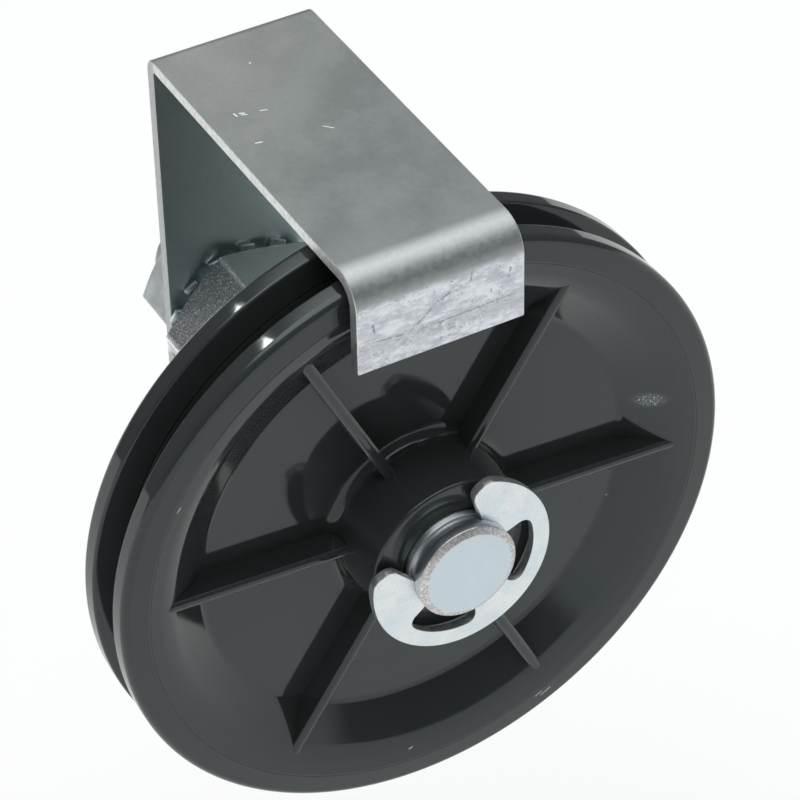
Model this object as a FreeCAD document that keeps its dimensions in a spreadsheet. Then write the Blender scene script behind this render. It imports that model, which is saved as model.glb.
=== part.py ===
import FreeCAD, Part
import math
import os
import Sketcher

# Wire rope sheave on a stud, with a folded rope guard over it.
# Millimetres. The origin is the centre of the rope groove on the wheel's axis.
# The axis is Y, the wheel's open face looks to -Y, and the guard's top is up, +Z.

SIZES = {
    # Sheave wheel, one plastic moulding, the same on both faces
    "rim_radius": 50.0,
    "rim_half_width": 6.65,
    "rim_round": 1.3,
    "crown_inset": 4.1,
    "crown_half_width": 6.95,
    "groove_mouth": 6.2,
    "groove_mouth_round": 0.5,
    "groove_root": 2.64,
    "groove_depth": 7.0,
    "groove_root_round": 1.5,
    "dish_edge_inset": 7.6,
    "dish_edge_half_width": 6.3,
    "dish_edge_round": 3.5,
    "dish_wall_angle": 32.0,
    "dish_foot_round": 2.0,
    "web_thickness": 3.8,
    "hub_radius": 13.2,
    "hub_draft": 0.5,
    "hub_half_length": 13.5,
    "hub_foot_round": 2.2,
    "hub_face_round": 0.5,
    "bore_clearance": 0.05,
    "bore_chamfer": 0.4,
    "rib_count": 6.0,
    "rib_thickness": 1.9,
    "rib_half_height": 6.2,
    "rib_edge_round": 0.5,
    "rib_end_cover": 0.9,
    "rib_clocking": 3.6,
    # Axle stud, turned from one length of hexagon bar
    "journal_radius": 8.0,
    "hub_play": 0.3,
    "clip_play": 1.0,
    "journal_tip": 2.15,
    "tip_bevel_across": 1.1,
    "tip_bevel_along": 0.6,
    "clip_groove_radius": 7.5,
    "clip_side_clearance": 0.05,
    "hexagon_flats": 27.0,
    "hexagon_length": 36.3,
    "hexagon_corner_cut": 0.6,
    "hexagon_clocking": 11.0,
    "thread_radius": 7.0,
    "thread_relief": 0.9,
    "thread_relief_length": 1.3,
    "thread_free_length": 7.5,
    "thread_end_chamfer": 1.2,
    # Retaining clip, punched from spring strip, snapped into the stud's groove
    "clip_radius": 14.7,
    "clip_thickness": 1.5,
    "clip_seat_clearance": 0.02,
    "clip_window_radius": 12.0,
    "clip_window_middle": 50.0,
    "clip_window_span": 62.0,
    "clip_window_round": 1.6,
    "clip_throat": 13.05,
    "clip_throat_height": 4.2,
    "clip_mouth_width": 15.6,
    "clip_lug_height": 9.4,
    "clip_lug_rise": 0.9,
    "clip_tip_round": 1.8,
    "clip_clocking": -31.0,
    # Rope guard, one folded strip
    "guard_width": 26.7,
    "guard_thickness": 2.0,
    "guard_rim_gap": 0.9,
    "guard_lip_gap": 1.9,
    "guard_lip_drop": 15.6,
    "guard_back_drop": 14.0,
    "guard_front_bend": 3.0,
    "guard_rear_bend": 0.5,
    "stud_hole_clearance": 0.25,
    # Lock washer with twisted teeth, between the hexagon and the guard
    "washer_thickness": 1.4,
    "washer_ring_thickness": 1.0,
    "washer_ring_radius": 11.9,
    "washer_tooth_radius": 14.3,
    "washer_tooth_count": 16.0,
    "washer_tooth_root_width": 3.0,
    "washer_tooth_tip_width": 2.5,
    "washer_tooth_tip_thickness": 0.6,
    "washer_tooth_twist": 14.0,
    # Clamp nut behind the guard
    "nut_flats": 22.0,
    "nut_height": 11.0,
    "nut_clearance": 0.05,
    "nut_face_radius": 10.6,
    "nut_corner_angle": 30.0,
    "nut_mouth_chamfer": 0.9,
    "nut_clocking": 3.0,
}
SHEET = "Sizes"
PAST_SHAPE = 2.0
MATCH = 1e-4

doc = FreeCAD.newDocument("sheave")
sheet = doc.addObject("Spreadsheet::Sheet", SHEET)
for row, (alias, number) in enumerate(SIZES.items(), start=1):
    sheet.set("A%d" % row, alias)
    sheet.set("B%d" % row, str(number))
    sheet.setAlias("B%d" % row, alias)
doc.recompute()


class Size:
    """A length or an angle: its number now, and the expression that ties it to the sheet."""

    def __init__(self, number, text):
        self.number = number
        self.text = text

    def joined(self, other, sign, number):
        return Size(number, "(%s %s %s)" % (self.text, sign, as_size(other).text))

    def __add__(self, other):
        return self.joined(other, "+", self.number + as_size(other).number)

    def __sub__(self, other):
        return self.joined(other, "-", self.number - as_size(other).number)

    def __mul__(self, other):
        return self.joined(other, "*", self.number * as_size(other).number)

    def __truediv__(self, other):
        return self.joined(other, "/", self.number / as_size(other).number)

    def __neg__(self):
        return Size(-self.number, "(0 - %s)" % self.text)


def as_size(value):
    return value if isinstance(value, Size) else Size(float(value), repr(float(value)))


def size(alias):
    return Size(float(SIZES[alias]), "%s.%s" % (SHEET, alias))


def tangent(angle):
    return Size(math.tan(math.radians(angle.number)), "tan(%s * 1 deg)" % angle.text)


def corner_radius(flats):
    return Size(flats.number / math.sqrt(3), "(%s / sqrt(3))" % flats.text)


def new_body(name):
    body = doc.addObject("PartDesign::Body", name)
    body.Label = name
    return body


def origin_part(body, role):
    return next(part for part in body.Origin.OriginFeatures if part.Role == role)


def new_sketch(body, name, plane, offset=None):
    """A sketch on one of the body's own origin planes, moved out along its normal by offset."""
    sketch = body.newObject("Sketcher::SketchObject", name)
    sketch.AttachmentSupport = [(origin_part(body, plane), "")]
    sketch.MapMode = "FlatFace"
    if offset is not None:
        sketch.setExpression("AttachmentOffset.Base.z", offset.text)
    return sketch


def hold_point(sketch, line, across, along):
    """Ties the start point of a line to its two distances from the sketch's origin."""
    for kind, distance in (("DistanceX", across), ("DistanceY", along)):
        rule = Sketcher.Constraint(kind, -1, 1, line, 1, distance.number)
        index = sketch.addConstraint(rule)
        sketch.setExpression("Constraints[%d]" % index, distance.text)


def add_outline(sketch, corners):
    """A closed outline of straight sides through the corners, each a pair of sizes."""
    corners = [(as_size(across), as_size(along)) for across, along in corners]
    points = [FreeCAD.Vector(across.number, along.number, 0) for across, along in corners]
    first = sketch.GeometryCount
    for start, end in zip(points, points[1:] + points[:1]):
        sketch.addGeometry(Part.LineSegment(start, end), False)
    for step, (across, along) in enumerate(corners):
        following = first + (step + 1) % len(corners)
        sketch.addConstraint(Sketcher.Constraint("Coincident", first + step, 2, following, 1))
        hold_point(sketch, first + step, across, along)


def add_circle(sketch, radius):
    circle = Part.Circle(FreeCAD.Vector(), FreeCAD.Vector(0, 0, 1), radius.number)
    index = sketch.addGeometry(circle, False)
    sketch.addConstraint(Sketcher.Constraint("Coincident", index, 3, -1, 1))
    rule = sketch.addConstraint(Sketcher.Constraint("Radius", index, radius.number))
    sketch.setExpression("Constraints[%d]" % rule, radius.text)


def turned(body, name, corners, kind="Revolution", span=None, middle=None):
    """Turns an outline of (radius, place along the axis) corners about the Y axis."""
    sketch = new_sketch(body, name + "_section", "XY_Plane")
    if middle is not None:
        sketch.AttachmentOffset = FreeCAD.Placement(
            FreeCAD.Vector(), FreeCAD.Rotation(FreeCAD.Vector(0, 1, 0), middle.number)
        )
        sketch.setExpression("AttachmentOffset.Rotation.Angle", middle.text)
    add_outline(sketch, corners)
    feature = body.newObject("PartDesign::" + kind, name)
    feature.Profile = sketch
    feature.ReferenceAxis = (sketch, ["V_Axis"])
    if span is None:
        feature.Angle = 360.0
    else:
        feature.Midplane = True
        feature.setExpression("Angle", span.text)
    doc.recompute()
    return feature


def ring_edges(body, rings):
    """Names of the edges that run round the Y axis at each (radius, place) given."""
    names = []
    for radius, place in rings:
        for number, edge in enumerate(body.Shape.Edges, start=1):
            curve = edge.Curve
            if not isinstance(curve, Part.Circle):
                continue
            fits = abs(curve.Radius - radius) < MATCH and abs(curve.Center.y - place) < MATCH
            if fits and math.hypot(curve.Center.x, curve.Center.z) < MATCH:
                names.append("Edge%d" % number)
    return names


def straight_edges(body, tests):
    """Names of the straight edges whose middle point passes one of the tests."""
    names = []
    for number, edge in enumerate(body.Shape.Edges, start=1):
        if not isinstance(edge.Curve, Part.Line):
            continue
        middle = edge.valueAt((edge.FirstParameter + edge.LastParameter) / 2)
        direction = edge.Curve.Direction
        if any(test(middle, direction) for test in tests):
            names.append("Edge%d" % number)
    return names


def dress(body, kind, name, edges, radius):
    """A fillet or a chamfer on the named edges of the body's tip."""
    base = body.Tip
    feature = body.newObject("PartDesign::" + kind, name)
    feature.Base = (base, edges)
    feature.setExpression("Radius" if kind == "Fillet" else "Size", radius.text)
    doc.recompute()
    return feature


def around(body, name, original, count):
    """Repeats a feature evenly about the Y axis."""
    pattern = body.newObject("PartDesign::PolarPattern", name)
    pattern.Originals = [original]
    pattern.Axis = (origin_part(body, "Y_Axis"), [""])
    pattern.Angle = 360.0
    pattern.setExpression("Occurrences", count.text)
    body.Tip = pattern
    doc.recompute()
    return pattern


def turn_about_axis(body, angle):
    """Sets how far a finished piece is turned about the Y axis."""
    body.Placement = FreeCAD.Placement(
        FreeCAD.Vector(), FreeCAD.Rotation(FreeCAD.Vector(0, 1, 0), angle.number)
    )
    body.setExpression("Placement.Rotation.Angle", angle.text)


# Places along the axis, from the open face at -Y to the threaded end at +Y
hub_half = size("hub_half_length")
clip_back = -(hub_half + size("clip_play"))
clip_front = clip_back - size("clip_thickness")
groove_back = clip_back + size("clip_side_clearance")
groove_front = clip_front - size("clip_side_clearance")
journal_end = groove_front - size("journal_tip")
hexagon_front = hub_half + size("hub_play")
hexagon_back = hexagon_front + size("hexagon_length")
guard_inner = hexagon_back + size("washer_thickness")
guard_outer = guard_inner + size("guard_thickness")
nut_back = guard_outer + size("nut_height")
stud_end = nut_back + size("thread_free_length")


def make_sheave_wheel():
    """The moulded wheel: rope groove, two dished faces with ribs, and a long plain hub."""
    body = new_body("sheave_wheel")
    rim = size("rim_radius")
    face = size("rim_half_width")
    root = rim - size("groove_depth")
    mouth = size("groove_mouth") / 2
    floor = size("groove_root") / 2
    edge = rim - size("dish_edge_inset")
    edge_face = size("dish_edge_half_width")
    web = size("web_thickness") / 2
    foot = edge - (edge_face - web) / tangent(size("dish_wall_angle"))
    hub = size("hub_radius")
    hub_foot = hub + size("hub_draft")
    front = [
        (hub, -hub_half),
        (hub_foot, -web),
        (foot, -web),
        (edge, -edge_face),
        (rim - size("crown_inset"), -size("crown_half_width")),
        (rim, -face),
        (rim, -mouth),
        (root, -floor),
    ]
    back = [(radius, -place) for radius, place in reversed(front)]
    turned(body, "wheel_blank", [(as_size(0), -hub_half)] + front + back + [(as_size(0), hub_half)])

    def both(radius, place):
        return [(radius.number, place.number), (radius.number, -place.number)]

    rounds = [
        ("rim_edges", both(rim, face), "rim_round"),
        ("groove_mouths", both(rim, mouth), "groove_mouth_round"),
        ("groove_root_corners", both(root, floor), "groove_root_round"),
        ("dish_feet", both(foot, web), "dish_foot_round"),
        ("hub_feet", both(hub_foot, web), "hub_foot_round"),
        ("hub_face_edges", both(hub, hub_half), "hub_face_round"),
        ("dish_edges", both(edge, edge_face), "dish_edge_round"),
    ]
    for name, rings, radius in rounds:
        dress(body, "Fillet", name, ring_edges(body, rings), size(radius))

    ribs = new_sketch(body, "rib_section", "YZ_Plane")
    height = size("rib_half_height")
    half = size("rib_thickness") / 2
    cut = size("rib_edge_round")
    add_outline(
        ribs,
        [
            (-height, cut - half),
            (cut - height, -half),
            (height - cut, -half),
            (height, cut - half),
            (height, half - cut),
            (height - cut, half),
            (cut - height, half),
            (-height, half - cut),
        ],
    )
    rib = body.newObject("PartDesign::Pad", "rib")
    rib.Profile = ribs
    rib.setExpression("Length", (edge + size("rib_end_cover")).text)
    doc.recompute()
    around(body, "ribs", rib, size("rib_count"))

    bore_radius = size("journal_radius") + size("bore_clearance")
    bore_sketch = new_sketch(body, "bore_circle", "XZ_Plane")
    add_circle(bore_sketch, bore_radius)
    bore = body.newObject("PartDesign::Pocket", "bore")
    bore.Profile = bore_sketch
    bore.Type = "ThroughAll"
    bore.Midplane = True
    doc.recompute()
    mouths = ring_edges(body, both(bore_radius, hub_half))
    dress(body, "Chamfer", "bore_mouths", mouths, size("bore_chamfer"))
    turn_about_axis(body, size("rib_clocking"))
    return body


def hexagon_corners(flats):
    """Corners of a hexagon with one corner along the first sketch axis."""
    corner = corner_radius(flats)
    half = flats / 2
    return [
        (corner, as_size(0)),
        (corner / 2, half),
        (-corner / 2, half),
        (-corner, as_size(0)),
        (-corner / 2, -half),
        (corner / 2, -half),
    ]


def hexagon_bar(body, name, flats, start, length):
    """A hexagonal bar along the Y axis from start."""
    sketch = new_sketch(body, name + "_outline", "XZ_Plane", -start)
    add_outline(sketch, hexagon_corners(flats))
    bar = body.newObject("PartDesign::Pad", name)
    bar.Profile = sketch
    bar.Reversed = True
    bar.setExpression("Length", length.text)
    doc.recompute()
    return bar


def corner_cut(body, name, radius, flats, end, slope):
    """Turns the corners of a hexagon off at one end, back along the axis by slope times the radius."""
    past = corner_radius(flats) + PAST_SHAPE
    turned(
        body,
        name,
        [(radius, end), (past, end), (past, end + (past - radius) * slope)],
        kind="Groove",
    )


def make_axle_stud():
    """The stud: plain journal with a clip groove, hexagon body and threaded end."""
    body = new_body("axle_stud")
    journal = size("journal_radius")
    thread = size("thread_radius")
    relief = thread - size("thread_relief")
    bevel = size("tip_bevel_along")
    chamfer = size("thread_end_chamfer")
    flats = size("hexagon_flats")
    hexagon_bar(body, "hexagon", flats, hexagon_front, size("hexagon_length"))
    flat_radius = flats / 2
    cut = size("hexagon_corner_cut")
    slope = cut / (corner_radius(flats) - flat_radius)
    corner_cut(body, "front_corner_cut", flat_radius, flats, hexagon_front, slope)
    corner_cut(body, "back_corner_cut", flat_radius, flats, hexagon_back, -slope)
    turned(
        body,
        "turned_ends",
        [
            (as_size(0), journal_end),
            (journal - size("tip_bevel_across"), journal_end),
            (journal, journal_end + bevel),
            (journal, groove_front),
            (size("clip_groove_radius"), groove_front),
            (size("clip_groove_radius"), groove_back),
            (journal, groove_back),
            (journal, hexagon_front + size("hexagon_length") / 2),
            (relief, hexagon_front + size("hexagon_length") / 2),
            (relief, hexagon_back + size("thread_relief_length")),
            (thread, hexagon_back + size("thread_relief_length") + size("thread_relief")),
            (thread, stud_end - chamfer),
            (thread - chamfer, stud_end),
            (as_size(0), stud_end),
        ],
    )
    turn_about_axis(body, size("hexagon_clocking"))
    return body


def make_retaining_clip():
    """The three-lug clip, drawn with its mouth up and then turned into place."""
    body = new_body("retaining_clip")
    seat = size("clip_groove_radius") + size("clip_seat_clearance")
    radius = size("clip_radius")
    turned(
        body,
        "clip_ring",
        [(seat, clip_front), (radius, clip_front), (radius, clip_back), (seat, clip_back)],
    )
    below = clip_front - PAST_SHAPE
    above = clip_back + PAST_SHAPE
    inside = seat / 2
    window = size("clip_window_radius")
    window_cut = turned(
        body,
        "window",
        [(inside, below), (window, below), (window, above), (inside, above)],
        kind="Groove",
        span=size("clip_window_span"),
        middle=as_size(90) - size("clip_window_middle"),
    )
    mirrored = body.newObject("PartDesign::Mirrored", "windows")
    mirrored.Originals = [window_cut]
    mirrored.MirrorPlane = (origin_part(body, "YZ_Plane"), [""])
    body.Tip = mirrored
    doc.recompute()

    throat = size("clip_throat") / 2
    throat_top = size("clip_throat_height")
    width = size("clip_mouth_width") / 2
    lug = size("clip_lug_height")
    outside = radius + PAST_SHAPE
    lug_outside = lug + size("clip_lug_rise")
    sketch = new_sketch(body, "mouth_outline", "XZ_Plane")
    add_outline(
        sketch,
        [
            (-throat, as_size(0)),
            (throat, as_size(0)),
            (throat, throat_top),
            (width, lug),
            (outside, lug_outside),
            (outside, outside),
            (-outside, outside),
            (-outside, lug_outside),
            (-width, lug),
            (-throat, throat_top),
        ],
    )
    mouth = body.newObject("PartDesign::Pocket", "mouth")
    mouth.Profile = sketch
    mouth.Type = "ThroughAll"
    mouth.Midplane = True
    doc.recompute()

    def along_axis(direction):
        return abs(abs(direction.y) - 1) < MATCH

    def at_window_corner(middle, direction):
        far = abs(math.hypot(middle.x, middle.z) - window.number) < MATCH
        return along_axis(direction) and far

    def at_outer_tip(middle, direction):
        far = abs(math.hypot(middle.x, middle.z) - radius.number) < MATCH
        return along_axis(direction) and far

    def at_inner_tip(middle, direction):
        level = abs(middle.z - lug.number) < MATCH
        return along_axis(direction) and level and abs(abs(middle.x) - width.number) < MATCH

    corners = straight_edges(body, [at_window_corner])
    dress(body, "Fillet", "window_corners", corners, size("clip_window_round"))
    tips = straight_edges(body, [at_outer_tip, at_inner_tip])
    dress(body, "Fillet", "lug_tips", tips, size("clip_tip_round"))
    turn_about_axis(body, size("clip_clocking"))
    return body


def make_rope_guard():
    """The folded strip: back leg on the stud, flat top over the wheel, short lip in front."""
    body = new_body("rope_guard")
    sheet_thickness = size("guard_thickness")
    under = size("rim_radius") + size("guard_rim_gap")
    top = under + sheet_thickness
    lip_back = -(size("crown_half_width") + size("guard_lip_gap"))
    lip_front = lip_back - sheet_thickness
    lip_end = top - size("guard_lip_drop")
    leg_end = -size("guard_back_drop")
    sketch = new_sketch(body, "strip_side", "YZ_Plane")
    add_outline(
        sketch,
        [
            (lip_front, lip_end),
            (lip_back, lip_end),
            (lip_back, under),
            (guard_inner, under),
            (guard_inner, leg_end),
            (guard_outer, leg_end),
            (guard_outer, top),
            (lip_front, top),
        ],
    )
    strip = body.newObject("PartDesign::Pad", "strip")
    strip.Profile = sketch
    strip.Midplane = True
    strip.setExpression("Length", size("guard_width").text)
    doc.recompute()

    def fold_edge(place, height):
        def test(middle, direction):
            near = math.hypot(middle.y - place.number, middle.z - height.number) < MATCH
            return near and abs(abs(direction.x) - 1) < MATCH

        return test

    folds = [
        ("front_bend_inside", lip_back, under, size("guard_front_bend")),
        ("front_bend_outside", lip_front, top, size("guard_front_bend") + sheet_thickness),
        ("rear_bend_inside", guard_inner, under, size("guard_rear_bend")),
        ("rear_bend_outside", guard_outer, top, size("guard_rear_bend") + sheet_thickness),
    ]
    for name, place, height, radius in folds:
        dress(body, "Fillet", name, straight_edges(body, [fold_edge(place, height)]), radius)

    hole_sketch = new_sketch(body, "stud_hole_circle", "XZ_Plane")
    add_circle(hole_sketch, size("thread_radius") + size("stud_hole_clearance"))
    hole = body.newObject("PartDesign::Pocket", "stud_hole")
    hole.Profile = hole_sketch
    hole.Type = "ThroughAll"
    doc.recompute()
    return body


def make_lock_washer():
    """The toothed washer: a flat ring with a row of twisted teeth round its edge."""
    body = new_body("lock_washer")
    hole = size("thread_radius") + size("stud_hole_clearance")
    ring = size("washer_ring_radius")
    turned(
        body,
        "ring",
        [(hole, hexagon_back), (ring, hexagon_back), (ring, guard_inner), (hole, guard_inner)],
    )
    middle = hexagon_back + size("washer_thickness") / 2

    def tooth_section(name, radius, width, thickness, twist):
        sketch = new_sketch(body, name, "YZ_Plane")
        place = FreeCAD.Placement(
            FreeCAD.Vector(middle.number, 0, radius.number),
            FreeCAD.Rotation(FreeCAD.Vector(0, 0, 1), twist.number),
        )
        sketch.AttachmentOffset = place
        sketch.setExpression("AttachmentOffset.Base.x", middle.text)
        sketch.setExpression("AttachmentOffset.Base.z", radius.text)
        sketch.setExpression("AttachmentOffset.Rotation.Angle", twist.text)
        half = thickness / 2
        side = width / 2
        add_outline(sketch, [(-half, -side), (half, -side), (half, side), (-half, side)])
        return sketch

    root = tooth_section(
        "tooth_root",
        ring - size("washer_ring_thickness"),
        size("washer_tooth_root_width"),
        size("washer_ring_thickness"),
        as_size(0),
    )
    tip = tooth_section(
        "tooth_tip",
        size("washer_tooth_radius"),
        size("washer_tooth_tip_width"),
        size("washer_tooth_tip_thickness"),
        size("washer_tooth_twist"),
    )
    tooth = body.newObject("PartDesign::AdditiveLoft", "tooth")
    tooth.Profile = root
    tooth.Sections = [tip]
    tooth.Ruled = True
    doc.recompute()
    around(body, "teeth", tooth, size("washer_tooth_count"))
    return body


def make_clamp_nut():
    """The nut that clamps the guard's back leg against the lock washer."""
    body = new_body("clamp_nut")
    flats = size("nut_flats")
    hexagon_bar(body, "nut_hexagon", flats, guard_outer, size("nut_height"))
    slope = tangent(size("nut_corner_angle"))
    face = size("nut_face_radius")
    corner_cut(body, "front_corners", face, flats, guard_outer, slope)
    corner_cut(body, "back_corners", face, flats, nut_back, -slope)
    radius = size("thread_radius") + size("nut_clearance")
    sketch = new_sketch(body, "nut_bore_circle", "XZ_Plane")
    add_circle(sketch, radius)
    bore = body.newObject("PartDesign::Pocket", "nut_bore")
    bore.Profile = sketch
    bore.Type = "ThroughAll"
    bore.Midplane = True
    doc.recompute()
    rings = [(radius.number, guard_outer.number), (radius.number, nut_back.number)]
    dress(body, "Chamfer", "nut_mouths", ring_edges(body, rings), size("nut_mouth_chamfer"))
    turn_about_axis(body, size("nut_clocking"))
    return body


pieces = [
    make_sheave_wheel(),
    make_axle_stud(),
    make_retaining_clip(),
    make_rope_guard(),
    make_lock_washer(),
    make_clamp_nut(),
]
doc.recompute()

for item in doc.Objects:
    if "Invalid" in item.State or "Error" in item.State:
        raise RuntimeError("%s did not build: %s" % (item.Name, item.State))
for piece in pieces:
    shape = piece.Shape
    if shape.isNull() or not shape.isValid() or len(shape.Solids) != 1:
        raise RuntimeError("%s is not one valid solid" % piece.Label)

os.makedirs("parts", exist_ok=True)
for piece in pieces:
    piece.Shape.exportStep("parts/%s.step" % piece.Label)
    box = piece.Shape.BoundBox
    print(
        "%-15s %9.1f mm3  X %.2f..%.2f  Y %.2f..%.2f  Z %.2f..%.2f"
        % (piece.Label, piece.Shape.Volume, box.XMin, box.XMax, box.YMin, box.YMax, box.ZMin, box.ZMax)
    )
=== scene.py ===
import math

import bmesh
import bpy
from mathutils import Matrix, Vector


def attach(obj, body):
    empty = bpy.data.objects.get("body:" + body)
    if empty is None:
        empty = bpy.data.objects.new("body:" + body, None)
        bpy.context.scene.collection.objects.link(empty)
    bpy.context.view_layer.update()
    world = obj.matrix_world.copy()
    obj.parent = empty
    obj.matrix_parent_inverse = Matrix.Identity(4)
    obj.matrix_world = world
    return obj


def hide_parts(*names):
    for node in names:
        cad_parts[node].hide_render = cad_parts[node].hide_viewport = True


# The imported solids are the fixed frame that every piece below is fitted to.
# Sizes are given in millimetres and turned into metres with MM.
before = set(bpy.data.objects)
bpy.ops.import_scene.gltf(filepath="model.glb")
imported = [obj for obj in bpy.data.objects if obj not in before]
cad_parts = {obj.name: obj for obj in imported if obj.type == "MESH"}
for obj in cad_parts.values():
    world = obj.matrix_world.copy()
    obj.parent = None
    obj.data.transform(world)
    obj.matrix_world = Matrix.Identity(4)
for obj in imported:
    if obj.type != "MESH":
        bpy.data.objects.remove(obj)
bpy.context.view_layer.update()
MM = 0.001

# Studio: the camera looks down on the open face of the wheel from its left. A dark room whose
# walls are pale low down, except behind the part, a large softbox overhead, a white table,
# and a small lamp behind on the left that draws the sparks on the rim.
CAMERA_PLACE = Vector((-196.758, -363.619, 364.917)) * MM
CAMERA_RIGHT = Vector((0.87327, -0.48691, -0.01779))
CAMERA_UP = Vector((0.32414, 0.5533, 0.76733))
CAMERA_LENS = 167.83
CAMERA_FILM = 36.0
SOFTBOX_WAY = Vector((0.0, 0.156, 0.988))
SOFTBOX_EDGE = (0.74, 0.87)
SOFTBOX_LIGHT = (2.62, 2.66, 2.7, 1)
ROOM_LIGHT = (0.14, 0.148, 0.152, 1)
HORIZON_LIGHT = (0.9, 0.92, 0.94, 1)
HORIZON_EDGE = (0.13, 0.03)
BACK_EDGE = (0.1, 0.4)
BACK_DROP = 0.21
TABLE_SIZE = 3400.0 * MM
TABLE_MIDDLE = Vector((0.0, -500.0, -130.0)) * MM
TABLE_GLOW = 0.65
LAMP_PLACE = Vector((-600.0, 1080.0, 1050.0)) * MM
LAMP_SIZE = 80.0 * MM
LAMP_WATTS = 0.8

bpy.ops.object.select_all(action="DESELECT")
bpy.ops.object.camera_add(location=CAMERA_PLACE)
camera = bpy.context.object
turn = Matrix((CAMERA_RIGHT, CAMERA_UP, CAMERA_RIGHT.cross(CAMERA_UP))).transposed()
camera.matrix_world = Matrix.Translation(CAMERA_PLACE) @ turn.to_4x4()
camera.data.lens = CAMERA_LENS
camera.data.sensor_width = CAMERA_FILM
camera.data.clip_start = 10 * MM
camera.data.clip_end = 20000 * MM
bpy.context.scene.camera = camera
bpy.context.scene.view_settings.view_transform = "Standard"


def add_node(owner, kind, *inputs, **options):
    """A node with its own options; its inputs, in order, are numbers, colours or other
    nodes' outputs, and None leaves one as it is."""
    node = owner.node_tree.nodes.new(kind)
    for name, value in options.items():
        setattr(node, name, value)
    for socket, value in zip(node.inputs, inputs):
        if isinstance(value, bpy.types.NodeSocket):
            owner.node_tree.links.new(value, socket)
        elif value is not None:
            socket.default_value = value
    return node


def calc(owner, kind, first, second=None):
    return add_node(owner, "ShaderNodeMath", first, second, operation=kind).outputs[0]


def times(owner, first, second):
    return calc(owner, "MULTIPLY", first, second)


def vector(owner, kind, first, second=None):
    node = add_node(owner, "ShaderNodeVectorMath", first, second, operation=kind)
    number = kind in ("DOT_PRODUCT", "LENGTH")
    return node.outputs["Value" if number else "Vector"]


def fade(owner, value, low, high, start=0.0, end=1.0):
    """Goes softly from start, where the value is at low, to end, where it is at high."""
    node = add_node(
        owner, "ShaderNodeMapRange", value, low, high, start, end, interpolation_type="SMOOTHSTEP"
    )
    return node.outputs[0]


def blend(owner, amount, first, second):
    return add_node(owner, "ShaderNodeMixRGB", amount, first, second).outputs[0]


def along(owner, where, axis):
    return add_node(owner, "ShaderNodeSeparateXYZ", where).outputs[axis]


world = bpy.data.worlds.new("studio")
bpy.context.scene.world = world
world.use_nodes = True
world.node_tree.nodes.clear()
way = add_node(world, "ShaderNodeTexCoord").outputs["Generated"]
overhead = fade(world, vector(world, "DOT_PRODUCT", way, SOFTBOX_WAY), *SOFTBOX_EDGE)
behind = fade(world, along(world, way, "Y"), *BACK_EDGE, 0.0, BACK_DROP)
level = calc(world, "ADD", along(world, way, "Z"), behind)
walls = blend(world, fade(world, level, *HORIZON_EDGE), ROOM_LIGHT, HORIZON_LIGHT)
light = add_node(world, "ShaderNodeBackground", blend(world, overhead, walls, SOFTBOX_LIGHT), 1.0)
seen = add_node(world, "ShaderNodeBackground", (1, 1, 1, 1), 1.0)
look = add_node(world, "ShaderNodeLightPath").outputs["Is Camera Ray"]
sky = add_node(world, "ShaderNodeMixShader", look, light.outputs[0], seen.outputs[0])
add_node(world, "ShaderNodeOutputWorld", sky.outputs[0])

bpy.ops.mesh.primitive_plane_add(size=TABLE_SIZE, location=TABLE_MIDDLE)
bpy.ops.object.transform_apply(location=True, rotation=True, scale=True)
floor = bpy.context.object
floor.name = "floor"
paper = bpy.data.materials.new("white_paper")
paper.use_nodes = True
paper.node_tree.nodes.clear()
matt = add_node(paper, "ShaderNodeBsdfDiffuse", (0.93, 0.93, 0.93, 1)).outputs[0]
white = add_node(paper, "ShaderNodeEmission", (1, 1, 1, 1), 1.0).outputs[0]
rays = add_node(paper, "ShaderNodeLightPath").outputs
looks = calc(paper, "MAXIMUM", rays["Is Camera Ray"], rays["Is Glossy Ray"])
looks = calc(paper, "MAXIMUM", looks, rays["Is Transmission Ray"])
page = add_node(paper, "ShaderNodeMixShader", times(paper, looks, TABLE_GLOW), matt, white)
add_node(paper, "ShaderNodeOutputMaterial", page.outputs[0])
floor.data.materials.append(paper)

bpy.ops.object.light_add(type="AREA", location=LAMP_PLACE)
lamp = bpy.context.object
lamp.name = "spark_lamp"
lamp.data.size = LAMP_SIZE
lamp.data.energy = LAMP_WATTS
lamp.rotation_euler = (-LAMP_PLACE).to_track_quat("-Z", "Y").to_euler()

# Sheave wheel: one injection moulding in glossy black nylon. Rope groove round the rim,
# two dished faces with six thin ribs each, and a long hub that runs straight on the stud.
WHEEL_STEPS = 288
BORE_RADIUS = 8.05
BORE_EDGE = 0.4
HUB_TIP = 13.2
HUB_FOOT = 13.7
HUB_HALF = 13.5
WEB_RADIUS = 35.36
WEB_HALF = 1.9
DISH_RADIUS = 42.4
DISH_HALF = 6.3
CROWN_RADIUS = 45.9
CROWN_HALF = 6.95
RIM_RADIUS = 50.0
RIM_HALF = 6.65
GROOVE_HALF = 3.1
ROOT_RADIUS = 43.0
ROOT_HALF = 1.32
RIBS = 6
RIB_START = 10.5
RIB_END = 43.3
RIB_TOP = 6.2
RIB_CROWN = 0.46
RIB_CREST_HALF = 0.36
RIB_SIDE_HALF = 0.93
RIB_FOOT_HALF = 0.97
RIB_ROOT_HALF = 1.4
RIB_SINK = 0.04
RIB_TURN = 3.6
MERGE_GAP = 0.002 * MM
POINT_GAP = 0.001 * MM


def choose(piece):
    """Selects one piece alone and makes it the active one."""
    bpy.ops.object.select_all(action="DESELECT")
    piece.select_set(True)
    bpy.context.view_layer.objects.active = piece


def start_editing(piece):
    bpy.context.view_layer.objects.active = piece
    bpy.ops.object.mode_set(mode="EDIT")


def stop_editing():
    bpy.ops.object.mode_set(mode="OBJECT")


def shade_round(degrees=28):
    """Shades the chosen piece smooth across edges flatter than an angle."""
    bpy.ops.object.shade_smooth_by_angle(angle=math.radians(degrees))


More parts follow.
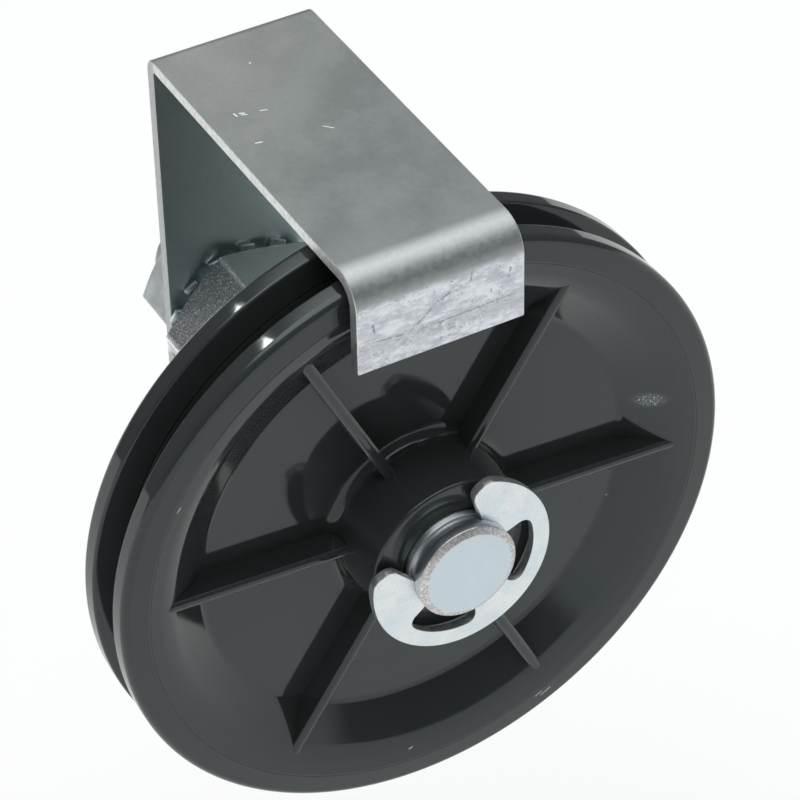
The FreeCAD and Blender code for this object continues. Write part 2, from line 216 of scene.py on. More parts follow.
def pick(piece, kind, test):
    """Selects the vertices, edges or faces of the piece in edit mode that pass a test."""
    bpy.ops.mesh.select_mode(type=kind)
    bpy.ops.mesh.select_all(action="DESELECT")
    shape = bmesh.from_edit_mesh(piece.data)
    parts = {"VERT": shape.verts, "EDGE": shape.edges, "FACE": shape.faces}[kind]
    for part in parts:
        if test(part):
            part.select = True
    shape.select_flush_mode()
    bmesh.update_edit_mesh(piece.data)


def face_outwards():
    bpy.ops.mesh.select_all(action="SELECT")
    bpy.ops.mesh.normals_make_consistent(inside=False)


def draw_line(name, corners, closed=True):
    """Draws straight runs through corners in millimetres, and stays in edit mode. A corner
    is (x, y, z), or (x, y, z, radius, steps) where it is rounded."""
    bpy.ops.object.select_all(action="DESELECT")
    points = [Vector(corner[:3]) * MM for corner in corners]
    bpy.ops.mesh.primitive_plane_add(size=MM, location=points[0])
    piece = bpy.context.object
    piece.name = name
    piece.data.name = name
    bpy.ops.object.transform_apply(location=True, rotation=True, scale=True)
    start_editing(piece)
    bpy.ops.mesh.select_mode(type="VERT")
    bpy.ops.mesh.select_all(action="SELECT")
    bpy.ops.mesh.merge(type="CENTER")
    runs = list(zip(points, points[1:] + points[:1]))
    for here, there in runs if closed else runs[:-1]:
        bpy.ops.mesh.extrude_region_move(TRANSFORM_OT_translate={"value": there - here})
    bpy.ops.mesh.select_all(action="SELECT")
    bpy.ops.mesh.remove_doubles(threshold=POINT_GAP)
    for point, corner in zip(points, corners):
        if len(corner) == 3:
            continue
        radius, steps = corner[3:]
        pick(piece, "VERT", lambda vertex: (vertex.co - point).length < POINT_GAP)
        meets = [edge.other_vert(v).co - v.co for v in bmesh.from_edit_mesh(piece.data).verts
                 if v.select for edge in v.link_edges]
        tangent = radius * MM / math.tan(meets[0].angle(meets[1]) / 2)
        bpy.ops.mesh.bevel(
            offset=tangent, offset_type="OFFSET", segments=steps, affect="VERTICES", profile=0.5
        )
    bpy.ops.mesh.select_all(action="SELECT")
    return piece


def mirrored(corners, first, second):
    """Corners in reverse order, their two places multiplied by 1 or -1."""
    return [(first * a, second * b, *rounding) for a, b, *rounding in reversed(corners)]


def on_lathe(name, corners, steps):
    """Turns an outline about the Y axis. A corner is (radius, place along the axis), with
    the radius and steps of its rounding where it has one."""
    piece = draw_line(name, [(r, place, 0, *rounding) for r, place, *rounding in corners])
    bpy.ops.mesh.spin(steps=steps, angle=math.tau, center=(0, 0, 0), axis=(0, 1, 0))
    bpy.ops.mesh.select_all(action="SELECT")
    bpy.ops.mesh.remove_doubles(threshold=MERGE_GAP)
    face_outwards()
    stop_editing()
    shade_round()
    return piece


def pull_out(x, y, z):
    """Fills the outline being drawn and pulls it out by so many millimetres."""
    bpy.ops.mesh.edge_face_add()
    bpy.ops.mesh.extrude_region_move(TRANSFORM_OT_translate={"value": (x * MM, y * MM, z * MM)})
    face_outwards()


def copy_round(count):
    """Repeats the mesh in edit mode evenly round the Y axis."""
    bpy.ops.mesh.spin(
        steps=count - 1, angle=math.tau * (count - 1) / count,
        center=(0, 0, 0), axis=(0, 1, 0), dupli=True
    )


def turn_piece(piece, degrees):
    """Turns a finished piece about the wheel's axis and keeps its object at the origin."""
    choose(piece)
    piece.rotation_euler = (0, math.radians(degrees), 0)
    bpy.ops.object.transform_apply(location=True, rotation=True, scale=True)


def even_shading(piece):
    """Lets the large faces of a piece set its normals, so that only its roundings bend them."""
    choose(piece)
    bpy.ops.object.modifier_add(type="WEIGHTED_NORMAL")
    step = piece.modifiers[-1]
    step.mode = "FACE_AREA"
    step.weight = 50
    step.keep_sharp = True
    bpy.ops.object.modifier_apply(modifier=step.name)


def join_pieces(first, *others):
    choose(first)
    for piece in others:
        piece.select_set(True)
    bpy.ops.object.join()


half_wheel = [
    (BORE_RADIUS, -HUB_HALF + BORE_EDGE),
    (BORE_RADIUS + BORE_EDGE, -HUB_HALF, 0.15, 2),
    (HUB_TIP, -HUB_HALF, 0.5, 5),
    (HUB_FOOT, -WEB_HALF, 2.2, 10),
    (WEB_RADIUS, -WEB_HALF, 2.0, 8),
    (DISH_RADIUS, -DISH_HALF, 9.0, 14),
    (CROWN_RADIUS, -CROWN_HALF, 0.25, 2),
    (RIM_RADIUS, -RIM_HALF, 1.3, 10),
    (RIM_RADIUS, -GROOVE_HALF, 0.5, 5),
    (ROOT_RADIUS, -ROOT_HALF, 1.5, 8),
]
wheel = on_lathe("rope_wheel", half_wheel + mirrored(half_wheel, 1, -1), WHEEL_STEPS)

rib_quarter = [
    (-RIB_TOP, -RIB_CREST_HALF, 0.95, 5),
    (-RIB_TOP + RIB_CROWN, -RIB_SIDE_HALF, 0.18, 3),
    (-WEB_HALF + RIB_SINK, -RIB_FOOT_HALF, 0.15, 2),
    (-WEB_HALF + RIB_SINK, -RIB_ROOT_HALF),
]
rib_side = rib_quarter + mirrored(rib_quarter, -1, 1)
rib_outline = rib_side + mirrored(rib_side, 1, -1)
ribs = draw_line("ribs", [(RIB_START, y, z, *rounding) for y, z, *rounding in rib_outline])
pull_out(RIB_END - RIB_START, 0, 0)
copy_round(RIBS)
stop_editing()
shade_round()
join_pieces(wheel, ribs)
turn_piece(wheel, RIB_TURN)
even_shading(wheel)


def new_material(name):
    """A material, and the place on the object's surface in millimetres."""
    material = bpy.data.materials.new(name)
    material.use_nodes = True
    place = add_node(material, "ShaderNodeTexCoord").outputs["Object"]
    return material, vector(material, "MULTIPLY", place, (1 / MM, 1 / MM, 1 / MM))


def noise(material, where, scale, detail, rough):
    return add_node(
        material, "ShaderNodeTexNoise", where, None, scale, detail, rough
    ).outputs[0]


def stretched(material, where, by):
    return vector(material, "MULTIPLY", where, by)


def mark(material, where, start, end, width):
    """1 on a straight mark from start to end, in millimetres, and 0 elsewhere."""
    start, end = Vector(start), Vector(end)
    offset = vector(material, "SUBTRACT", where, (start + end) / 2)
    run = (end - start).normalized()
    length = calc(material, "ABSOLUTE", vector(material, "DOT_PRODUCT", offset, run))
    side = vector(material, "LENGTH", vector(material, "CROSS_PRODUCT", offset, run))
    half = (end - start).length / 2
    ends = fade(material, length, half, half * 0.6)
    return times(material, ends, fade(material, side, width, width * 0.3))


def marks(material, where, runs):
    """1 on any of several straight marks, each given by its start, end and width."""
    shown = mark(material, where, *runs[0])
    for run in runs[1:]:
        shown = calc(material, "MAXIMUM", shown, mark(material, where, *run))
    return shown


def relief(material, height, depth, under=None):
    """Bump of a height from 0 to 1 that stands depth millimetres proud."""
    node = add_node(material, "ShaderNodeBump")
    node.inputs["Distance"].default_value = depth * MM
    material.node_tree.links.new(height, node.inputs["Height"])
    if under is not None:
        material.node_tree.links.new(under, node.inputs["Normal"])
    return node.outputs["Normal"]


def coat(material, colour, rough, normal, **values):
    """Joins the maps to the material's shader and sets its even values."""
    skin = material.node_tree.nodes["Principled BSDF"]
    for name, source in (("Base Color", colour), ("Roughness", rough), ("Normal", normal)):
        material.node_tree.links.new(source, skin.inputs[name])
    for name, value in values.items():
        skin.inputs[name.replace("_", " ")].default_value = value


def cover(piece, material):
    """Gives the whole piece one material."""
    piece.data.materials.clear()
    piece.data.materials.append(material)


nylon, spot = new_material("black_nylon")
radius = vector(nylon, "LENGTH", stretched(nylon, spot, (1, 0, 1)))
flow = noise(nylon, spot, 0.07, 4, 0.6)
film = noise(nylon, spot, 0.5, 5, 0.7)
rings = add_node(nylon, "ShaderNodeCombineXYZ", times(nylon, radius, 3.2)).outputs[0]
rings = vector(nylon, "ADD", rings, stretched(nylon, spot, (0.05, 0.4, 0.05)))
rubs = fade(nylon, noise(nylon, rings, 1.0, 2, 0.5), 0.62, 0.72)
rubs = times(nylon, rubs, fade(nylon, flow, 0.45, 0.62))
hair = add_node(nylon, "ShaderNodeMapping", spot, None, (0.3, 0.5, 0.7), (0.12, 0.12, 5.0))
hair = fade(nylon, noise(nylon, hair.outputs[0], 1.0, 2, 0.6), 0.69, 0.74)
hair = times(nylon, hair, fade(nylon, film, 0.5, 0.6))
worn = calc(nylon, "MAXIMUM", rubs, hair)
nicks = marks(nylon, spot, [
    ((18.7, -6.85, -43.5), (20.9, -6.85, -42.3), 0.24),
    ((17.8, -6.88, -43.2), (19.2, -6.88, -42.4), 0.2),
    ((-4.6, -6.58, -43.7), (-3.6, -6.58, -43.5), 0.25),
    ((-40.4, -6.86, 21.0), (-39.6, -6.86, 21.9), 0.2),
    ((33.1, -1.9, -12.0), (33.8, -1.9, -11.5), 0.18),
])
line = calc(nylon, "ABSOLUTE", calc(nylon, "SUBTRACT", radius, CROWN_RADIUS - 0.02))
line = fade(nylon, line, 0.17, 0.06)
# Painted highlight: a soft, paler patch on the dish wall beside one rib, with near-white painted
# sparkles in it, stands in for a bright spot of light there.
painted_highlight = vector(nylon, "SUBTRACT", spot, Vector((39.0, -4.5, 6.4)))
painted_highlight = vector(nylon, "LENGTH", stretched(nylon, painted_highlight, (0.75, 0.4, 1.25)))
painted_highlight = fade(nylon, painted_highlight, 2.7, 0.3)
painted_sparkles = fade(nylon, noise(nylon, spot, 3.6, 3, 0.7), 0.54, 0.66)
painted_sparkles = times(nylon, fade(nylon, painted_highlight, 0.3, 0.8), painted_sparkles)
black = blend(nylon, flow, (0.0270, 0.0305, 0.0300, 1), (0.0350, 0.0395, 0.0390, 1))
black = blend(nylon, times(nylon, line, 0.6), black, (0.003, 0.003, 0.003, 1))
# The painted highlight and its painted sparkles go on here.
black = blend(nylon, times(nylon, painted_highlight, 0.8), black, (0.11, 0.12, 0.14, 1))
black = blend(nylon, painted_sparkles, black, (0.85, 0.88, 0.93, 1))
black = blend(nylon, times(nylon, worn, 0.5), black, (0.02, 0.023, 0.023, 1))
black = blend(nylon, times(nylon, nicks, 0.8), black, (0.45, 0.47, 0.47, 1))
gloss = fade(nylon, film, 0.35, 0.75, 0.05, 0.1)
gloss = calc(nylon, "ADD", gloss, times(nylon, worn, 0.16))
gloss = calc(nylon, "ADD", gloss, times(nylon, nicks, 0.4))
skin = relief(nylon, noise(nylon, spot, 0.045, 1, 0.4), 0.06)
skin = relief(nylon, noise(nylon, spot, 1.8, 2, 0.5), 0.0003, skin)
skin = relief(nylon, worn, -0.002, skin)
skin = relief(nylon, line, -0.05, skin)
coat(nylon, black, gloss, skin, IOR=1.49, Specular_Tint=(0.9, 1.0, 0.985, 1))
cover(wheel, nylon)
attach(wheel, "wheel")
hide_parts("sheave_wheel")

# Axle stud: turned from steel hexagon bar and zinc plated. Plain journal with the clip's
# groove at the front, the hexagon left full size in the middle, and an M14 thread behind.
HEX_FRONT = 13.8
HEX_BACK = 50.1
HEX_FLATS = 27.0
HEX_CORNER = 0.6
HEX_TURN = 11.0
BLANK_RADIUS = 18.0
STUD_SINK = 0.6
JOURNAL_FRONT = -18.2
JOURNAL_RADIUS = 8.0
JOURNAL_EDGE = 0.6
JOURNAL_FACE = 6.9
CLIP_GROOVE_RADIUS = 7.5
CLIP_GROOVE_FRONT = -16.05
CLIP_GROOVE_BACK = -14.45
PITCH = 2.0
THREAD_TURNS = 14
THREAD_START = 46.0
THREAD_RADIUS = 7.0
THREAD_ROOT = 5.917
THREAD_TRIM = 7.2
THREAD_EDGE = 1.4
NECK_RADIUS = 6.6
NECK_LENGTH = 0.8
STUD_END = 72.0
STUD_END_RADIUS = 5.8


def hexagon(name, flats, front, back, edge_round):
    """A hexagonal bar along the axis, one corner to +X, its long edges rounded a little."""
    radius = flats / math.sqrt(3)
    bar = draw_line(name, [(0, front, 0), (radius, front, 0), (radius, back, 0), (0, back, 0)])
    bpy.ops.mesh.spin(steps=6, angle=math.tau, center=(0, 0, 0), axis=(0, 1, 0))
    bpy.ops.mesh.select_all(action="SELECT")
    bpy.ops.mesh.remove_doubles(threshold=MERGE_GAP)
    bpy.ops.mesh.dissolve_limited(angle_limit=math.radians(1))
    face_outwards()
    pick(bar, "EDGE", lambda edge: abs((edge.verts[0].co - edge.verts[1].co).y) > 1 * MM
         and edge.verts[0].co.xz.length > 1 * MM)
    bpy.ops.mesh.bevel(offset=edge_round * MM, segments=3, affect="EDGES")
    stop_editing()
    return bar


def carve(piece, tool, operation):
    """Cuts or trims the piece with a tool shape and takes the tool away."""
    choose(piece)
    bpy.ops.object.modifier_add(type="BOOLEAN")
    step = piece.modifiers[-1]
    step.operation = operation
    step.solver = "EXACT"
    step.object = tool
    bpy.ops.object.modifier_apply(modifier=step.name)
    bpy.data.objects.remove(tool)


def soften(piece, width, steps):
    """Rounds every sharp edge of the piece by width."""
    choose(piece)
    bpy.ops.object.modifier_add(type="BEVEL")
    step = piece.modifiers[-1]
    step.limit_method = "ANGLE"
    step.angle_limit = math.radians(30)
    step.width = width * MM
    step.segments = steps
    bpy.ops.object.modifier_apply(modifier=step.name)


stud = hexagon("stud", HEX_FLATS, HEX_FRONT, HEX_BACK, 0.35)
corner_slope = HEX_CORNER / (HEX_FLATS / math.sqrt(3) - HEX_FLATS / 2)
corner_depth = (BLANK_RADIUS - HEX_FLATS / 2) * corner_slope
blank = on_lathe(
    "blank",
    [
        (0, HEX_FRONT),
        (HEX_FLATS / 2, HEX_FRONT),
        (BLANK_RADIUS, HEX_FRONT + corner_depth),
        (BLANK_RADIUS, HEX_BACK - corner_depth),
        (HEX_FLATS / 2, HEX_BACK),
        (0, HEX_BACK),
    ],
    96,
)
carve(stud, blank, "INTERSECT")
start_editing(stud)
bpy.ops.mesh.select_all(action="SELECT")
bpy.ops.mesh.dissolve_limited(angle_limit=math.radians(0.5))
stop_editing()
turn_piece(stud, HEX_TURN)
shade_round(20)

journal = on_lathe(
    "journal",
    [
        (0, JOURNAL_FRONT),
        (JOURNAL_FACE, JOURNAL_FRONT, 0.25, 4),
        (JOURNAL_RADIUS, JOURNAL_FRONT + JOURNAL_EDGE, 0.25, 4),
        (JOURNAL_RADIUS, CLIP_GROOVE_FRONT, 0.1, 2),
        (CLIP_GROOVE_RADIUS, CLIP_GROOVE_FRONT),
        (CLIP_GROOVE_RADIUS, CLIP_GROOVE_BACK),
        (JOURNAL_RADIUS, CLIP_GROOVE_BACK, 0.1, 2),
        (JOURNAL_RADIUS, HEX_FRONT + STUD_SINK),
        (0, HEX_FRONT + STUD_SINK),
    ],
    128,
)

thread = draw_line(
    "thread",
    [
        (THREAD_ROOT, THREAD_START, 0),
        (THREAD_ROOT, THREAD_START + PITCH * 4 / 16, 0),
        (THREAD_RADIUS, THREAD_START + PITCH * 9 / 16, 0),
        (THREAD_RADIUS, THREAD_START + PITCH * 11 / 16, 0),
        (THREAD_ROOT, THREAD_START + PITCH, 0),
    ],
    closed=False,
)
stop_editing()
bpy.ops.object.modifier_add(type="SCREW")
winding = thread.modifiers[-1]
winding.axis = "Y"
winding.angle = math.tau
winding.screw_offset = PITCH * MM
winding.iterations = THREAD_TURNS
winding.steps = 64
winding.render_steps = 64
bpy.ops.object.modifier_apply(modifier=winding.name)
start_editing(thread)
bpy.ops.mesh.select_all(action="SELECT")
bpy.ops.mesh.remove_doubles(threshold=MERGE_GAP)
bpy.ops.mesh.select_all(action="DESELECT")
bpy.ops.mesh.select_mode(type="EDGE")
bpy.ops.mesh.select_non_manifold(extend=False)
bpy.ops.mesh.fill_holes(sides=0)
face_outwards()
stop_editing()
thread_blank = on_lathe(
    "thread_blank",
    [
        (0, HEX_BACK - STUD_SINK),
        (NECK_RADIUS, HEX_BACK - STUD_SINK),
        (NECK_RADIUS, HEX_BACK + NECK_LENGTH),
        (THREAD_TRIM, HEX_BACK + NECK_LENGTH + THREAD_TRIM - NECK_RADIUS),
        (THREAD_TRIM, STUD_END - THREAD_EDGE),
        (STUD_END_RADIUS, STUD_END),
        (0, STUD_END),
    ],
    96,
)
carve(thread, thread_blank, "INTERSECT")
choose(thread)
shade_round()
join_pieces(stud, journal, thread)

bar, spot = new_material("bright_bar")
place = along(bar, spot, "Y")
radius = vector(bar, "LENGTH", stretched(bar, spot, (1, 0, 1)))
on_journal = fade(bar, place, 13.9, 13.7)
on_hexagon = calc(bar, "SUBTRACT", 1.0, on_journal)
cloud = noise(bar, spot, 0.25, 4, 0.6)
fine = noise(bar, spot, 6.0, 3, 0.6)
draw = noise(bar, stretched(bar, spot, (2.5, 0.12, 2.5)), 1.0, 3, 0.6)
turning = noise(bar, stretched(bar, spot, (0.02, 7.0, 0.02)), 1.0, 2, 0.5)
sand = noise(bar, spot, 3.4, 2, 0.7)
sandy = vector(bar, "DOT_PRODUCT", spot, Vector((-0.7547, 0, 0.6561)))
sandy = times(bar, fade(bar, sandy, 13.2, 13.42), on_hexagon)
glints = times(bar, fade(bar, sand, 0.5, 0.66), sandy)
# Painted reflection: the hexagon facet that faces up is painted paler and greener, standing in
# for the guard's leg that it reflects.
painted_reflection_facet = vector(bar, "DOT_PRODUCT", spot, Vector((0.1908, 0, 0.9816)))
painted_reflection_facet = times(bar, fade(bar, painted_reflection_facet, 13.2, 13.42), on_hexagon)
ridges = times(bar, fade(bar, radius, 15.15, 15.35), on_hexagon)
bevel = times(bar, fade(bar, place, -17.4, -17.6), fade(bar, radius, 6.85, 6.95))
end_face = times(bar, fade(bar, place, -18.0, -18.15), fade(bar, radius, 6.98, 6.85))
metal = blend(bar, cloud, (0.46, 0.49, 0.49, 1), (0.60, 0.63, 0.63, 1))
metal = blend(bar, fade(bar, draw, 0.35, 0.7), metal, (0.52, 0.55, 0.56, 1))
metal = blend(bar, on_journal, metal, (0.66, 0.69, 0.72, 1))
# The paler, greener tone of the painted reflection on that facet.
painted_reflection_tone = blend(bar, cloud, (0.70, 0.77, 0.74, 1), (0.80, 0.86, 0.83, 1))
metal = blend(bar, painted_reflection_facet, metal, painted_reflection_tone)
metal = blend(bar, sandy, metal, (0.30, 0.32, 0.33, 1))
metal = blend(bar, glints, metal, (0.84, 0.86, 0.88, 1))
# The hexagon's rounded corners are painted near white, in patches.
pale_ridges = times(bar, ridges, fade(bar, fine, 0.3, 0.5))
metal = blend(bar, pale_ridges, metal, (0.95, 0.96, 0.97, 1))
rough_cut = blend(bar, fade(bar, sand, 0.4, 0.68), (0.50, 0.48, 0.47, 1), (0.85, 0.86, 0.87, 1))
metal = blend(bar, bevel, metal, rough_cut)
smooth_cut = blend(bar, cloud, (0.62, 0.72, 0.77, 1), (0.72, 0.79, 0.82, 1))
metal = blend(bar, end_face, metal, smooth_cut)
shine = fade(bar, fine, 0.3, 0.7, 0.3, 0.42)
shine = times(bar, shine, fade(bar, on_journal, 0.0, 1.0, 1.0, 0.95))
shine = calc(bar, "ADD", shine, times(bar, calc(bar, "MAXIMUM", end_face, bevel), 0.16))
shine = calc(bar, "SUBTRACT", shine, times(bar, ridges, 0.12))
skin = relief(bar, times(bar, sand, sandy), 0.10)
skin = relief(bar, times(bar, fine, on_hexagon), 0.012, skin)
skin = relief(bar, times(bar, turning, on_journal), 0.0025, skin)
skin = relief(bar, times(bar, sand, bevel), 0.02, skin)
coat(bar, metal, shine, skin, Metallic=1.0)
cover(stud, bar)
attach(stud, "frame")
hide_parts("axle_stud")

# Retaining clip: punched from 1.5 mm spring steel strip and zinc plated. Its three lugs
# sit in the stud's groove, and its mouth shows the way it was pushed on.
CLIP_RADIUS = 14.7
CLIP_SEAT = 7.52
CLIP_FRONT = -16.0
CLIP_BACK = -14.5
CLIP_TURN = -31.0
MOUTH_HALF = 6.525
TIP_ROUND = (1.8, 10)
WINDOW_RADIUS = 12.0
WINDOW_ROUND = (1.6, 8)


def arc(radius, start, end, steps):
    """Points of an arc, its angles in degrees from +X towards +Z."""
    angles = [math.radians(start + (end - start) * step / steps) for step in range(steps + 1)]
    return [(radius * math.cos(angle), radius * math.sin(angle)) for angle in angles]


def window(start, end):
    """A window's far side as an arc, its two corners rounded."""
    first, last = arc(WINDOW_RADIUS, start, end, 1)
    side = arc(WINDOW_RADIUS, start + 10, end - 10, 16)
    return [(*first, *WINDOW_ROUND), *side, (*last, *WINDOW_ROUND)]


mouth_side = [
    (MOUTH_HALF, 3.738),
    (MOUTH_HALF, 4.2),
    (7.8, 9.4, *TIP_ROUND),
    (11.02, 9.73, *TIP_ROUND),
]
clip_outline = [
    *mouth_side,
    *arc(CLIP_RADIUS, 34, -214, 124),
    *mirrored(mouth_side, -1, 1),
    *arc(CLIP_SEAT, 153, 189, 12),
    *window(189, 251),
    *arc(CLIP_SEAT, 251, 289, 12),
    *window(289, 351),
    *arc(CLIP_SEAT, -9, 27, 12),
]
clip = draw_line(
    "spring_clip", [(x, CLIP_FRONT, z, *rounding) for x, z, *rounding in clip_outline]
)
pull_out(0, CLIP_BACK - CLIP_FRONT, 0)
stop_editing()
turn_piece(clip, CLIP_TURN)
soften(clip, 0.14, 3)
shade_round()
even_shading(clip)

zinc, spot = new_material("bright_zinc")
cloud = noise(zinc, spot, 0.22, 4, 0.6)
fine = noise(zinc, spot, 3.0, 4, 0.65)
tarnish = fade(zinc, noise(zinc, spot, 0.6, 4, 0.7), 0.55, 0.75)
cloudy = fade(zinc, cloud, 0.35, 0.65)
metal = blend(zinc, cloudy, (0.66, 0.735, 0.765, 1), (0.78, 0.80, 0.80, 1))
metal = blend(zinc, times(zinc, tarnish, 0.35), metal, (0.55, 0.60, 0.62, 1))
shine = fade(zinc, fine, 0.3, 0.7, 0.24, 0.36)
skin = relief(zinc, fine, 0.004)
skin = relief(zinc, noise(zinc, spot, 0.3, 2, 0.5), 0.02, skin)
coat(zinc, metal, shine, skin, Metallic=1.0)

cut_edge, spot = new_material("cut_edge")
tear = noise(cut_edge, spot, 0.9, 5, 0.7)
speck = noise(cut_edge, spot, 4.0, 3, 0.7)
torn = fade(cut_edge, tear, 0.3, 0.7)
metal = blend(cut_edge, torn, (0.60, 0.61, 0.60, 1), (0.84, 0.86, 0.86, 1))
metal = blend(cut_edge, fade(cut_edge, speck, 0.55, 0.7, 0.0, 0.5), metal, (0.95, 0.96, 0.96, 1))
# The cut edges of the back leg are painted darker, in patches.
on_leg = fade(cut_edge, along(cut_edge, spot, "Y"), 50.8, 51.6)
darker_leg_edges = times(cut_edge, on_leg, fade(cut_edge, tear, 0.35, 0.6, 0.5, 0.85))
metal = blend(cut_edge, darker_leg_edges, metal, (0.36, 0.38, 0.38, 1))
shine = fade(cut_edge, speck, 0.3, 0.7, 0.34, 0.5)
skin = relief(cut_edge, tear, 0.05)
skin = relief(cut_edge, speck, 0.012, skin)
coat(cut_edge, metal, shine, skin, Metallic=1.0)


def paint_faces(piece, material, test):
    """Gives a further material to the faces that pass a test."""
    choose(piece)
    piece.data.materials.append(material)
    piece.active_material_index = len(piece.data.materials) - 1
    start_editing(piece)
    pick(piece, "FACE", test)
    bpy.ops.object.material_slot_assign()
    stop_editing()


cover(clip, zinc)
paint_faces(clip, cut_edge, lambda face: abs(face.normal.y) < 0.3)
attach(clip, "frame")
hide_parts("retaining_clip")

# Rope guard: a strip of zinc plated steel sheet, sheared off and folded twice, so that its
# top keeps the rope in the groove. The back leg is clamped on the stud.
GUARD_THICK = 2.0
GUARD_HALF = 13.35
GUARD_TOP = 52.9
LIP_FRONT = -10.85
LIP_END = 37.3
LEG_BACK = 53.5
LEG_END = -14.0
HOLE_RADIUS = 7.25
HOLE_FRONT = 48.0
HOLE_BACK = 58.0

guard_side = [
    (LIP_FRONT, LIP_END),
    (LIP_FRONT + GUARD_THICK, LIP_END),
    (LIP_FRONT + GUARD_THICK, GUARD_TOP - GUARD_THICK, 3.0, 12),
    (LEG_BACK - GUARD_THICK, GUARD_TOP - GUARD_THICK, 0.5, 4),
    (LEG_BACK - GUARD_THICK, LEG_END),
    (LEG_BACK, LEG_END),
    (LEG_BACK, GUARD_TOP, 2.5, 10),
    (LIP_FRONT, GUARD_TOP, 5.0, 16),
]
guard = draw_line("guard", [(-GUARD_HALF, y, z, *rounding) for y, z, *rounding in guard_side])
pull_out(2 * GUARD_HALF, 0, 0)
stop_editing()
hole_side = [(0, HOLE_FRONT), (HOLE_RADIUS, HOLE_FRONT)]
hole_side += [(HOLE_RADIUS, HOLE_BACK), (0, HOLE_BACK)]
hole = on_lathe("hole", hole_side, 72)
carve(guard, hole, "DIFFERENCE")
soften(guard, 0.22, 3)
shade_round()
even_shading(guard)

sheet, spot = new_material("sheet_zinc")
place = along(sheet, spot, "Y")
height = along(sheet, spot, "Z")
on_lip = times(sheet, fade(sheet, place, -8.0, -10.6), fade(sheet, height, 49.5, 48.0))
on_top = times(sheet, fade(sheet, place, -7.2, -4.6), fade(sheet, height, 51.8, 52.6))
on_bend = times(sheet, fade(sheet, place, -5.2, -6.8), fade(sheet, height, 47.4, 48.6))
in_leg = times(sheet, fade(sheet, place, 51.7, 51.55), fade(sheet, height, 50.7, 50.2))
in_leg = times(sheet, in_leg, fade(sheet, place, 51.2, 51.4))
cloud = noise(sheet, spot, 0.11, 5, 0.62)
grit = noise(sheet, spot, 1.1, 4, 0.7)
flakes = noise(sheet, spot, 4.5, 2, 0.6)
grain = noise(sheet, spot, 2.6, 3, 0.7)
smear = noise(sheet, stretched(sheet, spot, (0.26, 0.5, 0.6)), 1.0, 6, 0.72)
pits = fade(sheet, noise(sheet, spot, 2.2, 4, 0.7), 0.57, 0.64)
pits = times(sheet, pits, fade(sheet, noise(sheet, spot, 0.3, 2, 0.5), 0.44, 0.58))
band = times(sheet, fade(sheet, height, 42.6, 42.1), fade(sheet, height, 39.0, 40.2))
band = times(sheet, times(sheet, band, on_lip), fade(sheet, smear, 0.42, 0.58))
band = times(sheet, band, fade(sheet, grit, 0.36, 0.56, 0.25, 1.0))
scratch = marks(sheet, spot, [
    ((1.7, LIP_FRONT, 46.4), (-1.0, LIP_FRONT, 45.1), 0.22),
    ((-0.7, LIP_FRONT, 45.4), (-5.3, LIP_FRONT, 41.6), 0.2),
    ((-4.9, LIP_FRONT, 41.7), (-12.2, LIP_FRONT, 42.4), 0.16),
    ((-5.0, LIP_FRONT, 41.6), (13.0, LIP_FRONT, 42.0), 0.13),
    ((-10.9, LIP_FRONT, 45.6), (-10.6, LIP_FRONT, 43.6), 0.3),
    ((4.9, LIP_FRONT, 48.6), (4.6, LIP_FRONT, 46.4), 0.22),
    ((11.2, LIP_FRONT, 47.2), (10.7, LIP_FRONT, 45.0), 0.25),
])
scratch = times(sheet, scratch, fade(sheet, grit, 0.38, 0.52))
nicks = marks(sheet, spot, [
    ((-1.35, 43.75, GUARD_TOP), (-0.95, 43.75, GUARD_TOP), 0.25),
    ((-9.1, 33.7, GUARD_TOP), (-8.9, 32.6, GUARD_TOP), 0.18),
    ((-8.5, 33.3, GUARD_TOP), (-7.5, 32.9, GUARD_TOP), 0.16),
    ((-8.4, 32.8, GUARD_TOP), (-7.3, 32.4, GUARD_TOP), 0.15),
    ((-5.6, 32.4, GUARD_TOP), (-4.3, 32.0, GUARD_TOP), 0.12),
    ((-9.9, 25.6, GUARD_TOP), (-8.5, 25.3, GUARD_TOP), 0.15),
    ((0.4, 24.6, GUARD_TOP), (1.9, 23.0, GUARD_TOP), 0.1),
])
cloudy = fade(sheet, cloud, 0.3, 0.7)
metal = blend(sheet, cloudy, (0.475, 0.505, 0.495, 1), (0.545, 0.57, 0.56, 1))
# Painted shade: the top plate gets a darker copy of the sheet's colour, standing in for the
# little light it reflects.
painted_shade_top = blend(sheet, cloudy, (0.225, 0.242, 0.236, 1), (0.285, 0.303, 0.296, 1))
# Painted light: the top is painted paler and warmer towards its back left corner.
painted_light_back_left = vector(sheet, "DOT_PRODUCT", spot, Vector((-1.0, 1.0, 0.0)))
painted_shade_top = blend(sheet, fade(sheet, painted_light_back_left, 12.0, 62.0, 0.0, 0.3), painted_shade_top, (0.50, 0.505, 0.48, 1))
metal = blend(sheet, on_top, metal, painted_shade_top)
# Painted light: the inner face of the back leg is painted much paler and bluish, standing in for
# the light it catches.
metal = blend(sheet, in_leg, metal, (0.72, 0.84, 0.84, 1))
bend = blend(sheet, grit, (0.33, 0.35, 0.35, 1), (0.47, 0.49, 0.49, 1))
metal = blend(sheet, on_bend, metal, bend)
smeared = fade(sheet, smear, 0.36, 0.62)
lip = blend(sheet, smeared, (0.50, 0.53, 0.57, 1), (0.80, 0.82, 0.86, 1))
metal = blend(sheet, on_lip, metal, lip)
gritty = times(
    sheet, fade(sheet, grit, 0.4, 0.65, 0.0, 0.2), calc(sheet, "SUBTRACT", 1.0, on_top)
)
metal = blend(sheet, gritty, metal, (0.60, 0.62, 0.61, 1))
metal = blend(sheet, times(sheet, band, 0.7), metal, (0.36, 0.38, 0.39, 1))
pitted = times(sheet, pits, fade(sheet, on_lip, 0.0, 1.0, 0.10, 0.7))
